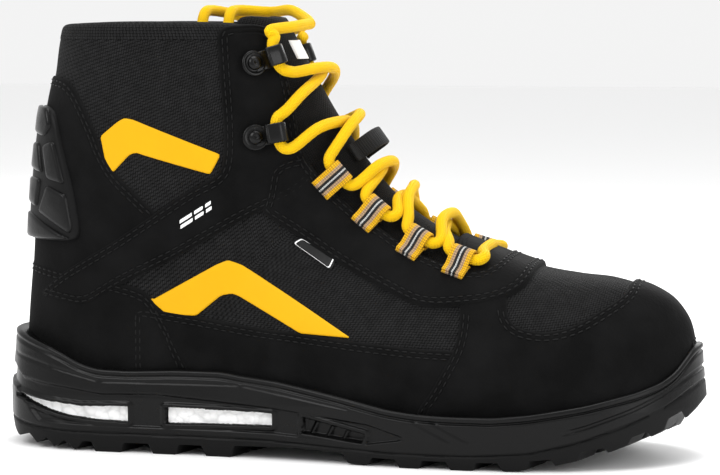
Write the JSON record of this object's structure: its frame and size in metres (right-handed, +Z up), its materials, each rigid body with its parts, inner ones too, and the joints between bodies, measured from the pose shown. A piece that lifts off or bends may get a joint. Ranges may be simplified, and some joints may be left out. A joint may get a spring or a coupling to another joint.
{
  "type": "mountaineering boot",
  "caption": "Mid-height lace-up boot for the right foot, with a lugged cup sole, toe overlay, moulded heel guard, webbing lace loops, open lace hooks and a padded collar.",
  "frame": {"origin": "on the ground under the middle of the boot's length and width", "axes": "+X from heel to toe, +Y to the inner (medial) side, +Z up"},
  "size_m": [0.3097, 0.111, 0.1936],
  "materials": {
    "leather": "matt black nubuck, fine grain",
    "textile": "black coarse plain weave",
    "lining": "dark knitted mesh",
    "foam": "soft open foam under cloth",
    "accent_film": "smooth yellow film, satin",
    "guard_plastic": "moulded dark plastic, satin",
    "sole_foam": "moulded black foam skin, satin",
    "rubber": "moulded black rubber, matt",
    "bead_foam": "fused white foam beads",
    "composite": "grey fibre composite",
    "board": "pressed fibre board",
    "painted_steel": "black enamel, glossy",
    "lace_yarn": "round braided yarn, golden yellow",
    "webbing": "woven tape, striped",
    "plastic": "smooth black plastic"
  },
  "bodies": {
    "shell": {"midsole": "sole_foam", "outsole": "rubber", "energy_core": "bead_foam", "torsion_shank": "composite", "insole_board": "board", "lining": "lining", "toe_cap": "composite", "heel_stiffener": "composite", "collar_foam": "foam", "vamp_textile": "textile", "quarter_textile_outer": "textile", "quarter_textile_inner": "textile", "shaft_textile": "textile", "lace_stay": "leather", "toe_overlay": "leather", "heel_cover": "leather", "ankle_panel_outer": "leather", "ankle_panel_inner": "leather", "rand_outer": "leather", "rand_inner": "leather", "backstay": "leather", "heel_guard": "guard_plastic", "accent_upper_outer": "accent_film", "accent_lower_outer": "accent_film", "accent_upper_inner": "accent_film", "accent_lower_inner": "accent_film", "side_tag": "plastic", "loop_outer_1": "webbing", "loop_outer_2": "webbing", "loop_outer_3": "webbing", "loop_outer_4": "webbing", "hook_outer_1": "painted_steel", "rivet_outer_1": "painted_steel", "hook_outer_2": "painted_steel", "rivet_outer_2": "painted_steel", "loop_inner_1": "webbing", "loop_inner_2": "webbing", "loop_inner_3": "webbing", "loop_inner_4": "webbing", "hook_inner_1": "painted_steel", "rivet_inner_1": "painted_steel", "hook_inner_2": "painted_steel", "rivet_inner_2": "painted_steel", "lace": "lace_yarn", "lace_tail_1": "lace_yarn", "aglet_1": "plastic", "lace_tail_2": "lace_yarn", "aglet_2": "plastic"},
    "tongue": {"tongue": "textile", "tongue_label": "plastic", "keeper_band": "webbing"},
    "footbed": {"footbed": "foam"}
  },
  "joints": [
    {"name": "tongue_flex", "type": "hinge", "parent": "shell", "child": "tongue", "pos_m": [0.07, 0, 0.084], "axis": [0, -1, 0], "range_deg": [0, 4], "stiffness_Nm_per_rad": 0.6, "springref_deg": -5.73},
    {"name": "footbed_lift", "type": "hinge", "parent": "shell", "child": "footbed", "pos_m": [0.143, 0, 0.033], "axis": [0, 1, 0], "range_deg": [0, 5]}
  ]
}
